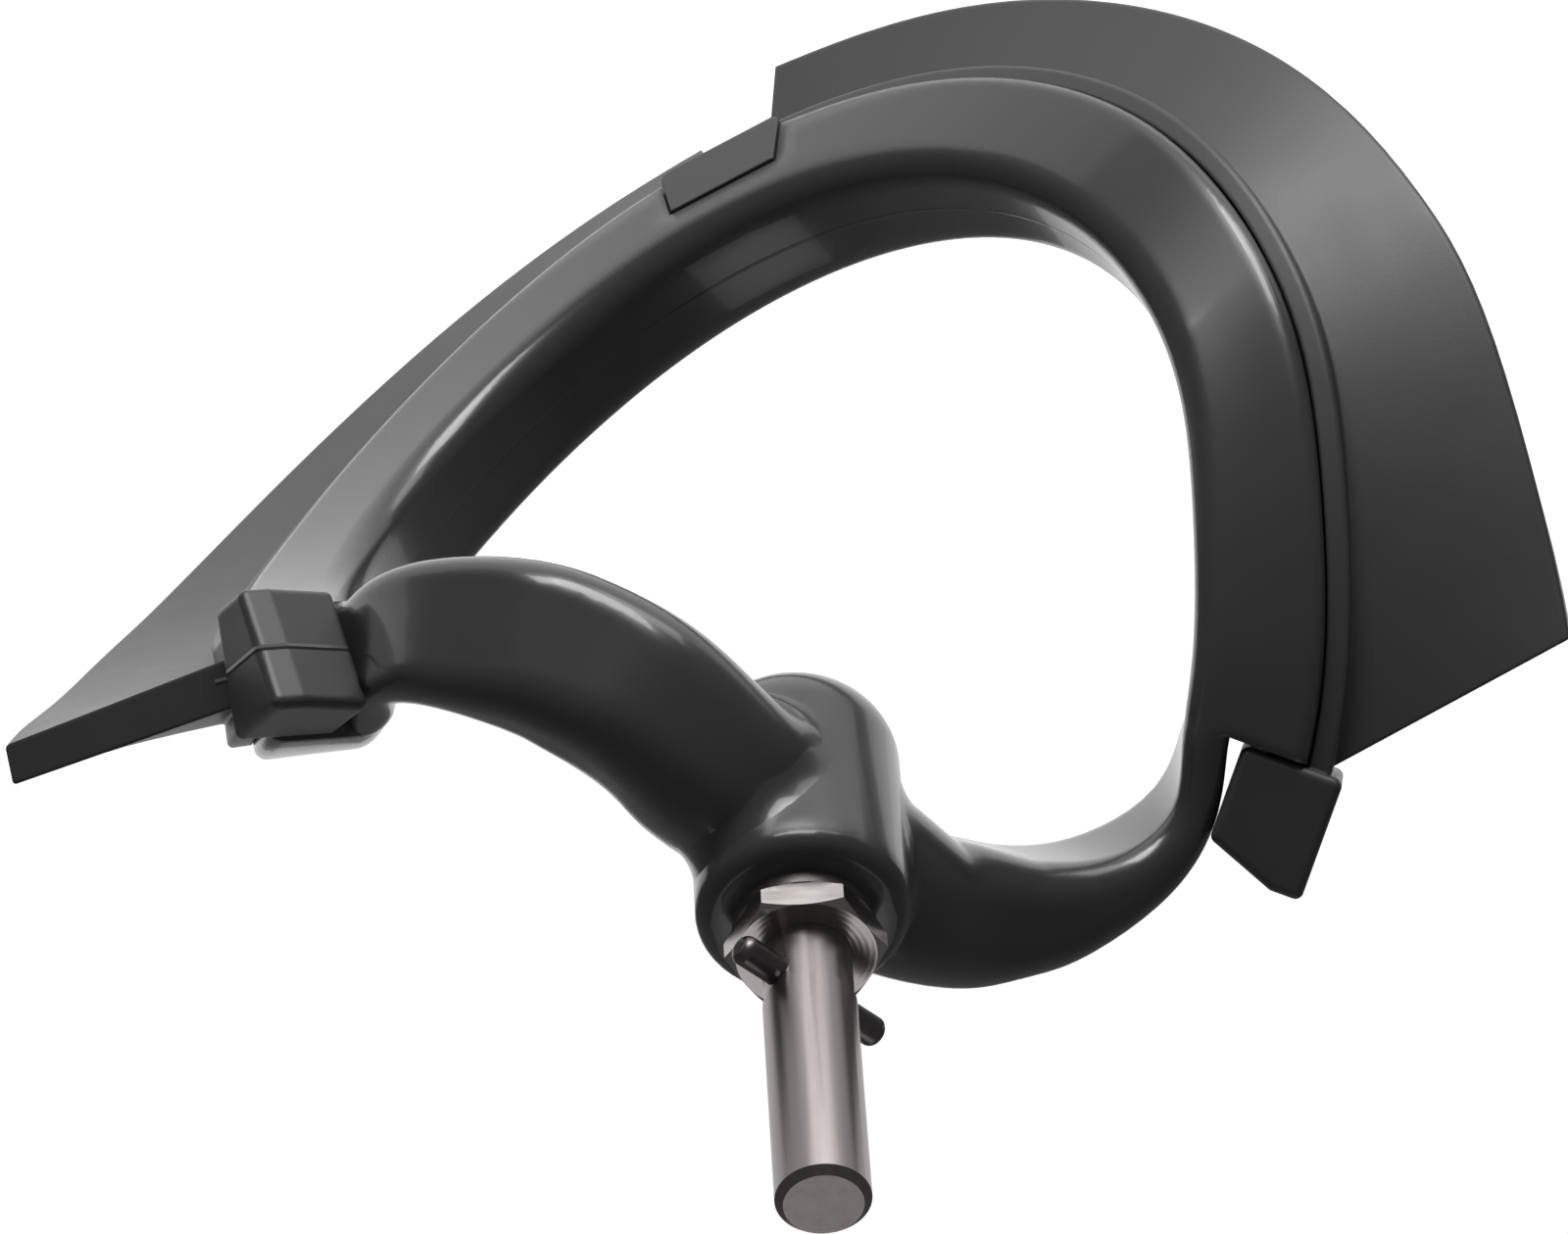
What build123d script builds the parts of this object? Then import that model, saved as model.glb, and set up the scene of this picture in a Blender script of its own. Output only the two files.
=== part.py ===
from build123d import *
import os
from math import atan2, cos, degrees, exp, hypot, radians, sin, tan

# Creaming beater for a stand mixer: a twisted loop with a flexible wiper blade, on a plain drive stem.
# Millimetres. +Z runs along the stem to its free end, and the floor of the bowl is towards -Z.
# The origin is on the stem's axis, where its bearing length starts, just clear of the cross pin.

# Stem, cross pin, lock nut and washer
stem_d = 9.525
stem_bearing = 27.0
stem_chamfer = 0.8
thread_d = 9.1
stem_foot = -32.0
pin_d = 3.175
pin_length = 19.0
pin_end_r = 1.0
pin_z = -2.2
pin_turn = -74.0
nut_flats = 14.29
nut_height = 3.2
nut_top = -7.3
nut_turn = -28.6
washer_d = 14.6
washer_height = 1.9
shaft_gap = 0.03

# Hub
hub_d = 22.0
hub_height = 31.0
hub_rim_r = 1.8
hub_dome = 8.0

# Loop drawn flat: the centre line is an arc, then a side that leans in as far as the step
loop_r = 53.0
loop_bottom = -129.3
side_lean = 9.0
step_z = -46.0
step_rake = 9.5
step_roll = 12.0

# Swing of the flat drawing about the stem: two parts, each growing by a factor e in its own rise
swing_base = 5.0
swing_rise = 40.0
swing_late = 5.0
swing_late_z = -45.0
swing_late_rise = 6.0

# Section of the rim, and of the arm from its neck to the hub
rim_width = 13.7
rim_thick = 14.5
rim_inner_r = 3.2
rim_outer_r = 1.4
groove_width = 6.0
groove_depth = 4.5
neck_width = 5.1
neck_r = 1.7

# Middle line of the arm: radius as a share of the neck's, swing past the neck's, share of the rise to the hub
arm_drop = 14.2
arm_path = [
    (0.962, -12.4, 0.266),
    (0.772, -25.5, 0.573),
    (0.605, -32.5, 0.739),
    (0.407, -39.0, 0.937),
    (0.067, -38.1, 1.000),
]

# Section of the arm at even places from the neck, which is the first of them, to the end inside the hub
arm_inset = 1.5
arm_end = hub_d - 2 * arm_inset
arm_width = [5.3, 9.1, 13.8, 16.4, arm_end]
arm_thick = [14.7, 16.9, 17.6, 17.8, arm_end]
arm_roll = [-75.8, -63.1, -54.7, -46.0, -40.0]
arm_corner = [2.4, 3.5, 4.8, 6.6, arm_end / 2 - 0.5]

# Wiper blade: reach and lean are given at even places from the bottom of the loop to the step
blade_gap = 0.25
bead_width = 11.0
bead_height = 2.7
bead_r = 0.6
bead_over = 2.0
blade_root = 5.2
blade_tip = 4.4
root_r = 0.8
root_sink = 0.4
tip_r = 0.5
blade_reach = [14.3, 14.8, 16.1, 20.1, 29.3]
blade_lean = [12.5, 2.5, -6.5, -4.5, 20.0]
blade_start = 3.2
blade_flare = 1.8
blade_over = 1.6
blade_rake = 9.4

# Base tab and hook blocks of the wiper blade
tab_inner = 13.5
tab_outer = 15.9
tab_depth = 7.4
tab_proud = 0.2
tab_top = 0.3
tab_r = 1.0
tab_gap = 0.35
hook_thick = 14.0
hook_gap = 0.3
hook_inset = 1.6
hook_width = 11.2
hook_length = 14.2
hook_back = 8.5
hook_end = 3.4
hook_drop = 3.0
hook_r = 0.9

# Sections that each loft runs through, and the angle whose sine spreads them along the rim
section_count = 10
section_spread = 75.0

loop_centre = loop_bottom + loop_r
side_start = radians(90 + side_lean) * loop_r
step_at = side_start + (step_z - loop_centre - loop_r * sin(radians(side_lean))) / cos(radians(side_lean))
hub_face = nut_top - nut_height - washer_height
rim_face = rim_width / 2

UP = (Align.CENTER, Align.CENTER, Align.MIN)


def between(values, place):
    """Smooth curve through values at even places from 0 to 1."""
    total = 0
    last = len(values) - 1
    for i, value in enumerate(values):
        for j in range(len(values)):
            if j != i:
                value *= (place * last - j) / (i - j)
        total += value
    return total


def swing(z):
    """Swing about the stem at a height, and its rate, in radians."""
    steady = radians(swing_base) * exp((z - loop_bottom) / swing_rise)
    late = radians(swing_late) * exp((z - swing_late_z) / swing_late_rise)
    return radians(swing_base) - steady - late, -steady / swing_rise - late / swing_late_rise


def twisted(u, z, du, dz):
    """Section plane on the twisted sheet: x outward in the sheet, y across it, z along the path."""
    angle, rate = swing(z)
    radial = Vector(cos(angle), sin(angle), 0)
    rising = Vector(-u * rate * sin(angle), u * rate * cos(angle), 1)
    along = radial * du + rising * dz
    across = rising.cross(radial)
    return Plane(origin=radial * u + Vector(0, 0, z), x_dir=across.cross(along), z_dir=along)


def rolled(plane, roll):
    """The plane, turned about the path so that its outer side moves across."""
    x_dir = plane.x_dir * cos(radians(roll)) + plane.y_dir * sin(radians(roll))
    return Plane(origin=plane.origin, x_dir=x_dir, z_dir=plane.z_dir)


def rim_plane(at):
    """Section plane of the rim, at a length along its centre line from the bottom of the loop."""
    half = abs(at)
    turn = min(half, side_start) / loop_r
    rest = max(half - side_start, 0)
    u = loop_r * sin(turn) + rest * cos(turn)
    z = loop_centre - loop_r * cos(turn) + rest * sin(turn)
    roll = step_roll * exp((z - step_z) / swing_late_rise)
    if at < 0:
        return rolled(twisted(-u, z, cos(turn), -sin(turn)), -roll)
    return rolled(twisted(u, z, cos(turn), sin(turn)), roll)


def closing():
    """Places from 0 to 1 that lie closer together towards 1."""
    spread = radians(section_spread)
    return [sin(spread * i / section_count) / sin(spread) for i in range(section_count + 1)]


def raked(plane, rake):
    """The plane, turned so that its outer side moves along the path."""
    x_dir = plane.x_dir * cos(radians(rake)) + plane.z_dir * sin(radians(rake))
    z_dir = plane.z_dir * cos(radians(rake)) - plane.x_dir * sin(radians(rake))
    return Plane(origin=plane.origin, x_dir=x_dir, z_dir=z_dir)


def outline(corners):
    """Face with a radius at each corner, from (x, y, radius)."""
    points = [(x, y) for x, y, r in corners]
    return make_face(FilletPolyline(points, radius=[r for x, y, r in corners], close=True))


def mirrored(corners):
    """The corners above the x axis, followed by the same ones below it."""
    return corners + [(x, -y, r) for x, y, r in reversed(corners)]


def half_turn(shape):
    """The shape, half a turn about the stem."""
    return Rot(0, 0, 180) * shape


step_plane = raked(rim_plane(step_at), step_rake)

# Rim of the loop, from step to step, with the groove for the wiper blade along its outer face
rim_corners = mirrored(
    [
        (-rim_face, rim_thick / 2, rim_inner_r),
        (rim_face, rim_thick / 2, rim_outer_r),
        (rim_face, groove_width / 2, 0),
        (rim_face - groove_depth, groove_width / 2, 0),
    ]
)
rim_half = [step_at * place for place in closing()]
rim_places = [-at for at in reversed(rim_half[1:])] + rim_half
rim_planes = [rim_plane(at) for at in rim_places]
rim_planes[0] = raked(rim_planes[0], -step_rake)
rim_planes[-1] = step_plane
rim = loft([plane * outline(rim_corners) for plane in rim_planes])

# Arm, from the neck at the step to the hub
neck_dir = rim_plane(step_at).z_dir
neck_point = step_plane.from_local_coords((neck_width / 2 - rim_face, 0, 0))
neck_reach = hypot(neck_point.X, neck_point.Y)
neck_turn = degrees(atan2(neck_point.Y, neck_point.X))
arm_rise = hub_face - arm_drop - neck_point.Z
arm_points = []
for reach, turn, rise in arm_path:
    point = Vector(neck_reach * reach, 0, neck_point.Z + arm_rise * rise)
    arm_points.append(point.rotate(Axis.Z, neck_turn + turn))
arm_end_dir = Vector(-1, 0, 0).rotate(Axis.Z, neck_turn + arm_path[-1][1])
arm_line = Spline([neck_point] + arm_points, tangents=[neck_dir, arm_end_dir])


def upright(along):
    """Direction nearest to straight up, square to a direction."""
    return (Vector(0, 0, 1) - along * along.Z).normalized()


neck_side = neck_dir.cross(upright(neck_dir))
neck_roll = degrees(atan2(step_plane.x_dir.dot(neck_side), step_plane.x_dir.dot(upright(neck_dir))))


def arm_solid(grow):
    """Arm from the neck at the step to the hub, grown all round by an allowance."""
    inner = (-rim_face - grow, rim_thick / 2 + grow, rim_inner_r)
    outer = (neck_width - rim_face + grow, rim_thick / 2 + grow, neck_r)
    sections = [step_plane * outline(mirrored([inner, outer]))]
    for place in [i / section_count for i in range(1, section_count + 1)]:
        along = arm_line.tangent_at(place)
        roll = radians(between([neck_roll] + arm_roll, place))
        outward = upright(along) * cos(roll) + along.cross(upright(along)) * sin(roll)
        x = between([neck_width] + arm_width, place) / 2 + grow
        y = between([rim_thick] + arm_thick, place) / 2 + grow
        corner_r = between([neck_r] + arm_corner, place)
        face = outline(mirrored([(-x, y, corner_r), (x, y, corner_r)]))
        sections.append(Plane(arm_line.position_at(place), x_dir=outward, z_dir=along) * face)
    return loft(sections)


arm = arm_solid(0)

# Hub
hub_corners = [
    (0, hub_face),
    (hub_d / 2, hub_face),
    (hub_d / 2, hub_face - hub_height),
    (0, hub_face - hub_height),
]
hub_profile = FilletPolyline(hub_corners, radius=[0, hub_rim_r, hub_dome, 0], close=True)
hub = revolve(Plane.XZ * make_face(hub_profile), Axis.Z)

notch_plane = rim_plane(0)
tab_plane = Plane(origin=notch_plane.origin, x_dir=notch_plane.z_dir, z_dir=notch_plane.y_dir)
tab_slope = (tab_outer - tab_inner) / 2 / tab_depth


def tab_shape(gap, top, corner_r):
    """Wedge face across the rim at the bottom of the loop, grown by a gap."""
    inner = tab_inner / 2 + gap
    outer = inner + tab_slope * (tab_depth + top)
    corners = [
        (-outer, rim_face + top, corner_r),
        (outer, rim_face + top, corner_r),
        (inner, rim_face - tab_depth - gap, 0),
        (-inner, rim_face - tab_depth - gap, 0),
    ]
    return tab_plane * outline(corners)


bore = Pos(0, 0, stem_foot) * Cylinder(thread_d / 2 + shaft_gap, hub_face - stem_foot, align=UP)
frame = hub + arm + half_turn(arm) + rim
frame -= extrude(tab_shape(tab_gap, rim_thick, 0), rim_thick, both=True)
frame -= bore

# Wiper blade: a tongue in the groove with a bead on the rim, and a fin from the bead out to the bowl
core_corners = mirrored(
    [
        (rim_face - groove_depth + blade_gap, groove_width / 2 - blade_gap, 0),
        (rim_face + blade_gap, groove_width / 2 - blade_gap, 0),
        (rim_face + blade_gap, bead_width / 2, 0),
        (rim_face + bead_height, bead_width / 2, bead_r),
    ]
)


def edge_point(at):
    """Point on the fin's free edge."""
    place = at / step_at
    lean = radians(between(blade_lean, place))
    reach = between(blade_reach, place)
    return rim_plane(at).from_local_coords((rim_face + reach * cos(lean), reach * sin(lean), 0))


def fin_section(place):
    """Section of the fin, on the line from the rim to the fin's free edge."""
    at = blade_start + (step_at + blade_over - blade_start) * place
    plane = rim_plane(at)
    plane = Plane(plane.from_local_coords((rim_face, 0, 0)), x_dir=plane.x_dir, z_dir=plane.z_dir)
    shift = blade_flare * (1 - place) ** 4 - blade_rake * place**4
    edge = plane.to_local_coords(edge_point(at + shift))
    stretch = hypot(edge.X, edge.Z) / edge.X
    fin = Vector(edge.X * stretch, edge.Y)
    fin_dir = fin.normalized()
    fin_side = Vector(-fin_dir.Y, fin_dir.X)
    foot_x = (bead_height - root_sink) * stretch
    sides = []
    for sign in (1, -1):
        foot_y = (fin_dir.Y * foot_x + sign * blade_root / 2) / fin_dir.X
        tip = fin + fin_side * (sign * blade_tip / 2)
        sides.append(
            [
                (foot_x, foot_y + sign * 2 * root_r, 0),
                (foot_x, foot_y, root_r),
                (tip.X, tip.Y, tip_r),
            ]
        )
    rake = degrees(atan2(edge.Z, edge.X))
    return raked(plane, rake) * outline(sides[0] + sides[1][::-1])


core_run = step_at + bead_over - blade_start
core = loft([rim_plane(blade_start + core_run * place) * outline(core_corners) for place in closing()])
fin = loft([fin_section(place) for place in closing()])

# Base tab and hook block
tab = extrude(tab_shape(0, tab_top, tab_r), rim_thick / 2 + tab_proud, both=True)
hook_inner = neck_width - rim_face + hook_inset
hook_outer = hook_inner + hook_width


def hook_face(across, length):
    """Outline of the hook block on one of its two broad faces."""
    middle = step_plane.from_local_coords((0, across, 0))
    corners = [
        (hook_inner, hook_gap, 0),
        (hook_outer, hook_gap, 0),
        (hook_outer, length, 0),
        (hook_outer - hook_end, length, 0),
        (hook_inner, length - hook_drop, 0),
    ]
    return Plane(middle, x_dir=step_plane.x_dir, z_dir=-step_plane.y_dir) * outline(corners)


hook = loft([hook_face(hook_thick / 2, hook_length), hook_face(-hook_thick / 2, hook_back)])
hook = fillet(hook.edges(), hook_r)
half_blade = core + fin + (hook - arm_solid(hook_gap))
wiper_blade = half_blade + half_turn(half_blade) + tab

# Stem, cross pin, lock nut and washer
stem_profile = [
    (0, stem_foot),
    (thread_d / 2, stem_foot),
    (thread_d / 2, thread_d / 2 - stem_d / 2),
    (stem_d / 2, 0),
    (stem_d / 2, stem_bearing),
    (stem_d / 2 - stem_chamfer, stem_bearing + stem_chamfer),
    (0, stem_bearing + stem_chamfer),
]
pin_place = Pos(0, 0, pin_z) * Rot(0, 0, pin_turn) * Rot(0, 90, 0)
stem = revolve(Plane.XZ * make_face(Polyline(stem_profile, close=True)), Axis.Z)
stem -= pin_place * Cylinder(pin_d / 2 + shaft_gap, 2 * stem_d)

cross_pin = Cylinder(pin_d / 2, pin_length)
cross_pin = pin_place * fillet(cross_pin.edges().filter_by(GeomType.CIRCLE), pin_end_r)

nut_bottom = nut_top - nut_height
nut_across = nut_flats / cos(radians(30))
nut_crown = (nut_across - nut_flats) / 2 * tan(radians(30))
nut_turned = [
    (0, nut_bottom),
    (nut_flats / 2, nut_bottom),
    (nut_across / 2, nut_bottom + nut_crown),
    (nut_across / 2, nut_top - nut_crown),
    (nut_flats / 2, nut_top),
    (0, nut_top),
]
hexagon = Pos(0, 0, nut_bottom) * Rot(0, 0, nut_turn) * RegularPolygon(nut_flats / 2, 6, major_radius=False)
lock_nut = extrude(hexagon, nut_height)
lock_nut &= revolve(Plane.XZ * make_face(Polyline(nut_turned, close=True)), Axis.Z)
lock_nut -= Pos(0, 0, nut_bottom) * Cylinder(thread_d / 2 + shaft_gap, nut_height, align=UP)

washer = Cylinder(washer_d / 2, washer_height, align=UP)
washer -= Cylinder(thread_d / 2 + shaft_gap, washer_height, align=UP)
washer = Pos(0, 0, hub_face) * washer

os.makedirs("parts", exist_ok=True)
pieces = {
    "frame": frame,
    "wiper_blade": wiper_blade,
    "stem": stem,
    "cross_pin": cross_pin,
    "lock_nut": lock_nut,
    "washer": washer,
}
for node, piece in pieces.items():
    export_step(piece, f"parts/{node}.step")
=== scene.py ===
import math

import bmesh
import bpy
from mathutils import Matrix, Vector


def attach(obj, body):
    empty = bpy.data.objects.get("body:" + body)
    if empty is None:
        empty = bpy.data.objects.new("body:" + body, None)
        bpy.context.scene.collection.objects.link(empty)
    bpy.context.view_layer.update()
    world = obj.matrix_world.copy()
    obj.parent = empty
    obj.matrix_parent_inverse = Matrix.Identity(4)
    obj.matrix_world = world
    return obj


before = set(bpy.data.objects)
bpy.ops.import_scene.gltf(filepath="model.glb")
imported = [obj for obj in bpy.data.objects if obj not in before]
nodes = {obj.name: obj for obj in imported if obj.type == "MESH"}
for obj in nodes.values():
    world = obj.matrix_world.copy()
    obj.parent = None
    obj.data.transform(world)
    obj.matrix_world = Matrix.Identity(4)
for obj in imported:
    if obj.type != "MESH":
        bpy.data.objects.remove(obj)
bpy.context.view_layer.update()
scene = bpy.context.scene

# Lengths are in metres and places in the part's own frame, with the stem on top.

# Camera at the photograph's angle: its place and axes, its focal length and the image's width in pixels
CAM_PLACE = Vector((0.22561, 0.41379, 0.49630))
CAM_RIGHT = Vector((0.85059, -0.52391, 0.04492))
CAM_UP = Vector((0.42527, 0.63517, -0.64475))
CAM_BACK = Vector((0.30926, 0.56752, 0.76307))
FOCAL_PX = 7000.0
IMAGE_WIDTH = 1600.0
SENSOR_MM = 36.0
NEAR_CLIP = 0.01

# Loop drawn flat and its step, as the part is made
LOOP_R = 0.053
LOOP_BOTTOM = -0.1293
SIDE_LEAN = math.radians(9.0)
STEP_Z = -0.046
STEP_RAKE = math.radians(9.5)
STEP_ROLL = math.radians(12.0)

# Swing of the flat drawing about the stem: two parts, each growing by a factor e in its own rise
SWING_BASE = math.radians(5.0)
SWING_RISE = 0.040
SWING_LATE = math.radians(5.0)
SWING_LATE_Z = -0.045
SWING_LATE_RISE = 0.006

# Parting lines: half width and height of the ridge on the loop and on the hook blocks, and how far the one on
# a hook block runs out from the middle of the step
LOOP_RIDGE_WIDTH = 0.00025
LOOP_RIDGE_HEIGHT = 0.00005
HOOK_RIDGE_WIDTH = 0.00035
HOOK_RIDGE_HEIGHT = 0.00022
HOOK_RIDGE_REACH = 0.01112

# Distances from the stem's axis between which the soft shading round the hub fades out
HUB_FADE_START = 0.016
HUB_FADE_END = 0.030

# Skin over the seams of the hub: the box that it is cut to, its voxels, its smoothing and how deep it is sunk
SKIN_REACH = 0.026
SKIN_FOOT = -0.050
SKIN_SIDES = ((1, 0, 0), (-1, 0, 0), (0, 1, 0), (0, -1, 0), (0, 0, -1))
SKIN_WELD = 1e-6
SKIN_VOXEL = 0.0007
SKIN_PASSES = 70
SKIN_PASS_SHARE = 0.5
SKIN_SINK = 0.00004

# Patterns of the mouldings: scale of the noise per metre and its detail, shares of the value, and the stretch
# of the noise between them
MOTTLE_SCALE = 35.0
MOTTLE_DETAIL = 3.0
MOTTLE_SHARES = (0.95, 1.06)
MOTTLE_STRETCH = (0.3, 0.7)
GLOSS_SCALE = 140.0
GLOSS_DETAIL = 3.0
GLOSS_SHARES = (0.94, 1.06)
GLOSS_STRETCH = (0.25, 0.75)
GRAIN_SCALE = 2600.0
GRAIN_DETAIL = 2.0
GRAIN_HEIGHT = 0.0001
EDGE_SAMPLES = 8

# Patterns of the steel, in the same way, and the rings of a turned piece
LINE_SCALE = 900.0
LINE_DETAIL = 5.0
LINE_SHARES = (0.8, 1.0)
LINE_STRETCH = (0.3, 0.7)
LINE_GLOSS_SHARES = (0.8, 1.3)
LINE_GLOSS_STRETCH = (0.2, 0.8)
LINE_HEIGHT = 0.00004
RING_SCALE = 520.0
RING_WOBBLE = 1.2

# Studio: the middle of the part, the floor, the world's levels, and the share of a lamp's direction along the
# camera's up axis past which the lamp is turned by the camera's right axis instead
MIDDLE = Vector((0.0, 0.0, -0.06))
FLOOR_Z = -0.9
FLOOR_SIZE = 2.4
FLOOR_COLOUR = (0.84, 0.84, 0.84, 1.0)
FLOOR_ROUGHNESS = 0.9
FLOOR_GLOSS = 0.1
FLOOR_GLOW = 0.85
WHITE = (1.0, 1.0, 1.0, 1.0)
ROOM_LEVEL = 0.12
BACKDROP_LEVEL = 1.0
OVERHEAD = 0.9


def swing(z):
    """Swing of the loop about the stem at a height, and its rate."""
    steady = SWING_BASE * math.exp((z - LOOP_BOTTOM) / SWING_RISE)
    late = SWING_LATE * math.exp((z - SWING_LATE_Z) / SWING_LATE_RISE)
    return SWING_BASE - steady - late, -steady / SWING_RISE - late / SWING_LATE_RISE


def step_axes():
    """Middle of the step, the direction outward along it and the direction across the twisted sheet there."""
    side = (STEP_Z - LOOP_BOTTOM - LOOP_R - LOOP_R * math.sin(SIDE_LEAN)) / math.cos(SIDE_LEAN)
    reach = LOOP_R * math.cos(SIDE_LEAN) - side * math.sin(SIDE_LEAN)
    angle, rate = swing(STEP_Z)
    radial = Vector((math.cos(angle), math.sin(angle), 0.0))
    rising = Vector((-reach * rate * math.sin(angle), reach * rate * math.cos(angle), 1.0))
    along = (rising * math.cos(SIDE_LEAN) - radial * math.sin(SIDE_LEAN)).normalized()
    flat_out = rising.cross(radial).cross(along).normalized()
    rolled_out = flat_out * math.cos(STEP_ROLL) + along.cross(flat_out) * math.sin(STEP_ROLL)
    outward = rolled_out * math.cos(STEP_RAKE) + along * math.sin(STEP_RAKE)
    return radial * reach + Vector((0.0, 0.0, STEP_Z)), outward, along.cross(rolled_out)


class Look:
    """One material and short ways to add to its node tree."""

    def __init__(self, name):
        self.mat = bpy.data.materials.new(name)
        self.mat.use_nodes = True
        self.tree = self.mat.node_tree
        self.bsdf = self.tree.nodes["Principled BSDF"]
        self.normal = None

    def add(self, kind, **inputs):
        """A new node, with its inputs set."""
        node = self.tree.nodes.new(kind)
        for key, value in inputs.items():
            self.put(node, key, value)
        return node

    def put(self, node, key, value):
        """Sets or links an input, by its name with _ for a space or, as i0 and i1, by its number."""
        socket = node.inputs[int(key[1:]) if key[1:].isdigit() else key.replace("_", " ")]
        if isinstance(value, bpy.types.NodeSocket):
            self.tree.links.new(value, socket)
        else:
            socket.default_value = value

    def place(self):
        """Place on the object."""
        return self.add("ShaderNodeTexCoord").outputs["Object"]

    def split(self):
        """Place on the object, as x, y and z."""
        return self.add("ShaderNodeSeparateXYZ", Vector=self.place()).outputs

    def math(self, operation, a, b=0.0):
        """Result of an operation on one or two values."""
        node = self.add("ShaderNodeMath", i0=a, i1=b)
        node.operation = operation
        return node.outputs[0]

    def noise(self, scale, detail, stretch=(1.0, 1.0, 1.0)):
        """Noise over the object, with its own stretch along x, y and z."""
        mapping = self.add("ShaderNodeMapping", Vector=self.place(), Scale=stretch)
        texture = self.add("ShaderNodeTexNoise", Vector=mapping.outputs[0], Scale=scale, Detail=detail)
        return texture.outputs[0]

    def vary(self, key, colour, pattern, shares, stretch):
        """Lets an input of the shader run between two shares of a colour, over a stretch of a pattern."""
        node = self.add("ShaderNodeValToRGB", Fac=pattern)
        for element, share, place in zip(node.color_ramp.elements, shares, stretch):
            element.position = place
            element.color = (*(c * share for c in colour), 1.0)
        self.put(self.bsdf, key, node.outputs["Color"])

    def relief(self, pattern, strength, height):
        """Lays a relief over the relief so far."""
        node = self.add("ShaderNodeBump", Height=pattern, Strength=strength, Distance=height)
        if self.normal is not None:
            self.put(node, "Normal", self.normal)
        self.normal = node.outputs[0]
        self.put(self.bsdf, "Normal", self.normal)

    def ridge(self, across, width, where, height):
        """A ridge where a distance is zero, in the region where a value is 1."""
        near = self.math("DIVIDE", self.math("ABSOLUTE", across), width)
        crest = self.math("SUBTRACT", 1.0, self.math("MINIMUM", near, 1.0))
        self.relief(self.math("MULTIPLY", crest, where), 1.0, height)


def dress(node_name, look):
    """Gives a CAD node its one material."""
    data = nodes[node_name].data
    data.materials.clear()
    data.materials.append(look.mat)


def moulded(name, colour, roughness, grain, edge, hub_edge):
    """Dark plastic or rubber, faintly mottled and grained, with one softness of edges far from the hub and
    another near it."""
    look = Look(name)
    mottle = look.noise(MOTTLE_SCALE, MOTTLE_DETAIL)
    look.vary("Base_Color", colour, mottle, MOTTLE_SHARES, MOTTLE_STRETCH)
    gloss = look.noise(GLOSS_SCALE, GLOSS_DETAIL)
    look.vary("Roughness", (roughness,) * 3, gloss, GLOSS_SHARES, GLOSS_STRETCH)
    x, y, _ = look.split()
    from_axis = look.math("SQRT", look.math("ADD", look.math("MULTIPLY", x, x), look.math("MULTIPLY", y, y)))
    radius = look.add(
        "ShaderNodeMapRange",
        Value=from_axis,
        From_Min=HUB_FADE_START,
        From_Max=HUB_FADE_END,
        To_Min=hub_edge,
        To_Max=edge,
    )
    soft = look.add("ShaderNodeBevel", Radius=radius.outputs[0])
    soft.samples = EDGE_SAMPLES
    look.normal = soft.outputs[0]
    look.relief(look.noise(GRAIN_SCALE, GRAIN_DETAIL), grain, GRAIN_HEIGHT)
    return look


def loop_line(look):
    """The ridge of the parting line, along the middle of the loop's twisted sheet and below the steps."""
    x, y, z = look.split()
    steady = look.math("EXPONENT", look.math("DIVIDE", look.math("SUBTRACT", z, LOOP_BOTTOM), SWING_RISE))
    late = look.math("EXPONENT", look.math("DIVIDE", look.math("SUBTRACT", z, SWING_LATE_Z), SWING_LATE_RISE))
    angle = look.math("MULTIPLY", look.math("SUBTRACT", 1.0, steady), SWING_BASE)
    angle = look.math("SUBTRACT", angle, look.math("MULTIPLY", late, SWING_LATE))
    y_part = look.math("MULTIPLY", y, look.math("COSINE", angle))
    x_part = look.math("MULTIPLY", x, look.math("SINE", angle))
    across = look.math("SUBTRACT", y_part, x_part)
    look.ridge(across, LOOP_RIDGE_WIDTH, look.math("LESS_THAN", z, STEP_Z), LOOP_RIDGE_HEIGHT)


def hook_line(look):
    """The ridge of the parting line round the middle of each hook block, above the steps."""
    middle, outward, normal = step_axes()
    place = look.place()

    def along(direction):
        node = look.add("ShaderNodeVectorMath", i0=place, i1=direction)
        node.operation = "DOT_PRODUCT"
        return node.outputs["Value"]

    side = look.math("SIGN", along(Vector((outward.x, outward.y, 0.0))))

    def half_turned(direction):
        """Distance along a direction or, on the other hook block, along that direction half a turn on."""
        flat = look.math("MULTIPLY", along(Vector((direction.x, direction.y, 0.0))), side)
        return look.math("ADD", flat, along(Vector((0.0, 0.0, direction.z))))

    across = look.math("SUBTRACT", half_turned(normal), middle.dot(normal))
    inside = look.math("LESS_THAN", half_turned(outward), middle.dot(outward) + HOOK_RIDGE_REACH)
    high = look.math("GREATER_THAN", along(Vector((0.0, 0.0, 1.0))), STEP_Z)
    look.ridge(across, HOOK_RIDGE_WIDTH, look.math("MULTIPLY", high, inside), HOOK_RIDGE_HEIGHT)


def steel(name, colour, roughness, relief, stretch, turned):
    """Steel with drawn or ground lines, and with rings about the stem's axis where it is turned."""
    look = Look(name)
    lines = look.noise(LINE_SCALE, LINE_DETAIL, stretch)
    look.vary("Base_Color", colour, lines, LINE_SHARES, LINE_STRETCH)
    look.vary("Roughness", (roughness,) * 3, lines, LINE_GLOSS_SHARES, LINE_GLOSS_STRETCH)
    look.bsdf.inputs["Metallic"].default_value = 1.0
    height = lines
    if turned:
        rings = look.add("ShaderNodeTexWave", Vector=look.place(), Scale=RING_SCALE, Distortion=RING_WOBBLE)
        rings.wave_type = "RINGS"
        rings.rings_direction = "Z"
        height = look.math("ADD", lines, rings.outputs["Fac"])
    look.relief(height, relief, LINE_HEIGHT)
    return look


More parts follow.
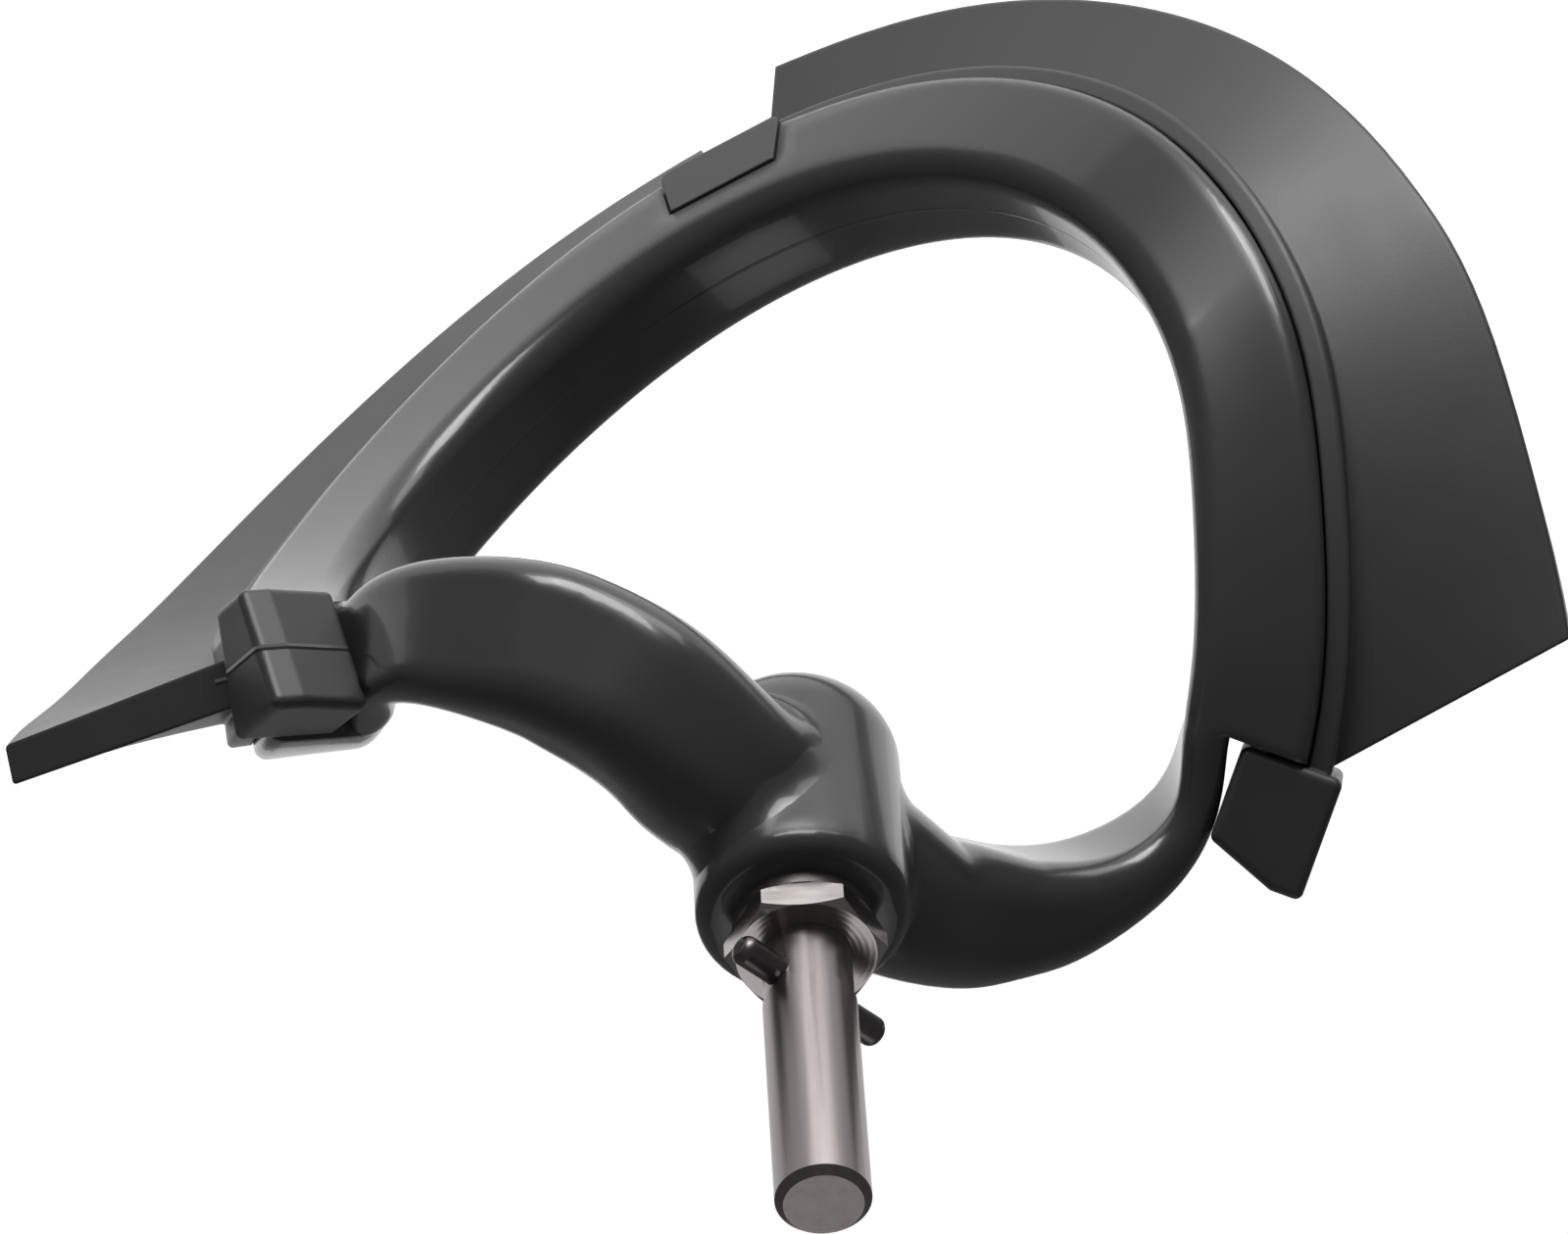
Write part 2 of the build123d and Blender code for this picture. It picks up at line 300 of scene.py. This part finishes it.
def hub_blend(look):
    """A smoothed skin over the hub and the roots of its arms, seen only where it fills their seams."""
    mesh = bmesh.new()
    mesh.from_mesh(nodes["frame"].data)
    bmesh.ops.remove_doubles(mesh, verts=mesh.verts, dist=SKIN_WELD)
    for side in SKIN_SIDES:
        place = Vector((SKIN_REACH * side[0], SKIN_REACH * side[1], SKIN_FOOT))
        everything = mesh.verts[:] + mesh.edges[:] + mesh.faces[:]
        bmesh.ops.bisect_plane(mesh, geom=everything, plane_co=place, plane_no=Vector(side), clear_outer=True)
        bmesh.ops.holes_fill(mesh, edges=[edge for edge in mesh.edges if edge.is_boundary], sides=0)
    bmesh.ops.triangulate(mesh, faces=mesh.faces)
    data = bpy.data.meshes.new("hub_blend")
    mesh.to_mesh(data)
    mesh.free()
    skin = bpy.data.objects.new("hub_blend", data)
    scene.collection.objects.link(skin)
    skin.matrix_world = nodes["frame"].matrix_world.copy()
    remesh = skin.modifiers.new("even", "REMESH")
    remesh.mode = "VOXEL"
    remesh.voxel_size = SKIN_VOXEL
    remesh.use_smooth_shade = True
    smooth = skin.modifiers.new("smooth", "SMOOTH")
    smooth.factor = SKIN_PASS_SHARE
    smooth.iterations = SKIN_PASSES
    shrink = skin.modifiers.new("sink", "DISPLACE")
    shrink.mid_level = 0.0
    shrink.strength = -SKIN_SINK
    data.materials.append(look.mat)
    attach(skin, "root")


# Frame: glossy dark plastic
frame_look = moulded(
    "graphite_moulding",
    colour=(0.045, 0.0445, 0.0445),
    roughness=0.26,
    grain=0.02,
    edge=0.0016,
    hub_edge=0.0045,
)
frame_look.bsdf.inputs["Coat Weight"].default_value = 0.35
frame_look.bsdf.inputs["Coat Roughness"].default_value = 0.07
loop_line(frame_look)
dress("frame", frame_look)
hub_blend(frame_look)

# Wiper blade: satin dark rubber
blade_look = moulded(
    "graphite_rubber",
    colour=(0.047, 0.0465, 0.047),
    roughness=0.4,
    grain=0.08,
    edge=0.0006,
    hub_edge=0.0006,
)
hook_line(blade_look)
dress("wiper_blade", blade_look)

# Stem: drawn along its length
stem_look = steel(
    "drawn_steel",
    colour=(0.27, 0.249, 0.243),
    roughness=0.3,
    relief=0.25,
    stretch=(1.0, 1.0, 0.03),
    turned=True,
)
dress("stem", stem_look)

# Cross pin: ground and dull
pin_look = steel(
    "ground_steel",
    colour=(0.17, 0.16, 0.157),
    roughness=0.32,
    relief=0.2,
    stretch=(1.0, 1.0, 1.0),
    turned=False,
)
dress("cross_pin", pin_look)

# Lock nut and washer: plain turned
nut_look = steel(
    "nut_steel",
    colour=(0.46, 0.43, 0.42),
    roughness=0.22,
    relief=0.15,
    stretch=(0.2, 0.2, 1.0),
    turned=True,
)
dress("lock_nut", nut_look)
washer_look = steel(
    "washer_steel",
    colour=(0.52, 0.49, 0.475),
    roughness=0.26,
    relief=0.15,
    stretch=(0.3, 0.3, 1.0),
    turned=True,
)
dress("washer", washer_look)

# Floor, well below the part, white to the camera and in reflections
bpy.ops.mesh.primitive_plane_add(size=FLOOR_SIZE, location=(0.0, 0.0, FLOOR_Z))
floor = bpy.context.object
floor.name = "floor"
pale = Look("pale_floor")
pale.bsdf.inputs["Base Color"].default_value = FLOOR_COLOUR
pale.bsdf.inputs["Roughness"].default_value = FLOOR_ROUGHNESS
pale.bsdf.inputs["Specular IOR Level"].default_value = FLOOR_GLOSS
path = pale.add("ShaderNodeLightPath")
seen = pale.math("MAXIMUM", path.outputs["Is Camera Ray"], path.outputs["Is Transmission Ray"])
seen = pale.math("MAXIMUM", seen, path.outputs["Is Glossy Ray"])
pale.bsdf.inputs["Emission Color"].default_value = WHITE
pale.put(pale.bsdf, "Emission_Strength", pale.math("MULTIPLY", seen, FLOOR_GLOW))
floor.data.materials.append(pale.mat)

# World: white to the camera, and a dim room to all other rays
world = bpy.data.worlds.new("studio")
scene.world = world
world.use_nodes = True
tree = world.node_tree
background = tree.nodes["Background"]
background.inputs["Color"].default_value = WHITE
seen_by = tree.nodes.new("ShaderNodeLightPath")
level = tree.nodes.new("ShaderNodeMapRange")
level.inputs["To Min"].default_value = ROOM_LEVEL
level.inputs["To Max"].default_value = BACKDROP_LEVEL
tree.links.new(seen_by.outputs["Is Camera Ray"], level.inputs["Value"])
tree.links.new(level.outputs[0], background.inputs["Strength"])


def softbox(name, right, up, back, width, height, watts, reflected=True):
    """A flat lamp placed from the middle of the part along the camera's axes, and turned to face it."""
    data = bpy.data.lights.new(name, "AREA")
    data.shape = "RECTANGLE"
    data.size = width
    data.size_y = height
    data.energy = watts
    lamp = bpy.data.objects.new(name, data)
    scene.collection.objects.link(lamp)
    place = MIDDLE + CAM_RIGHT * right + CAM_UP * up + CAM_BACK * back
    z_dir = (place - MIDDLE).normalized()
    x_dir = CAM_UP.cross(z_dir).normalized()
    if abs(CAM_UP.dot(z_dir)) > OVERHEAD:
        x_dir = (CAM_RIGHT - z_dir * CAM_RIGHT.dot(z_dir)).normalized()
    y_dir = z_dir.cross(x_dir)
    lamp.matrix_world = Matrix.Translation(place) @ Matrix((x_dir, y_dir, z_dir)).transposed().to_4x4()
    lamp.visible_glossy = reflected


# Lamps: three above the part in the picture, a card below the stem's end, and two behind the part
softbox("key_box", right=0.0, up=0.85, back=0.28, width=0.36, height=0.36, watts=4.2)
softbox("loop_box", right=-0.27, up=0.83, back=0.28, width=0.24, height=0.24, watts=1.8)
softbox("arm_box", right=0.32, up=0.84, back=0.09, width=0.30, height=0.30, watts=0.9)
softbox("end_card", right=0.06, up=-0.88, back=0.15, width=0.36, height=0.36, watts=0.36)
softbox("back_box", right=-0.27, up=-0.68, back=-0.5, width=0.5, height=0.5, watts=4.0, reflected=False)
softbox("side_box", right=0.6, up=-0.25, back=-0.6, width=0.4, height=0.6, watts=2.5, reflected=False)

camera_data = bpy.data.cameras.new("camera")
camera_data.sensor_width = SENSOR_MM
camera_data.sensor_fit = "HORIZONTAL"
camera_data.lens = SENSOR_MM * FOCAL_PX / IMAGE_WIDTH
camera_data.clip_start = NEAR_CLIP
camera = bpy.data.objects.new("camera", camera_data)
scene.collection.objects.link(camera)
camera.matrix_world = (
    Matrix.Translation(CAM_PLACE) @ Matrix((CAM_RIGHT, CAM_UP, CAM_BACK)).transposed().to_4x4()
)
scene.camera = camera
scene.view_settings.view_transform = "Standard"
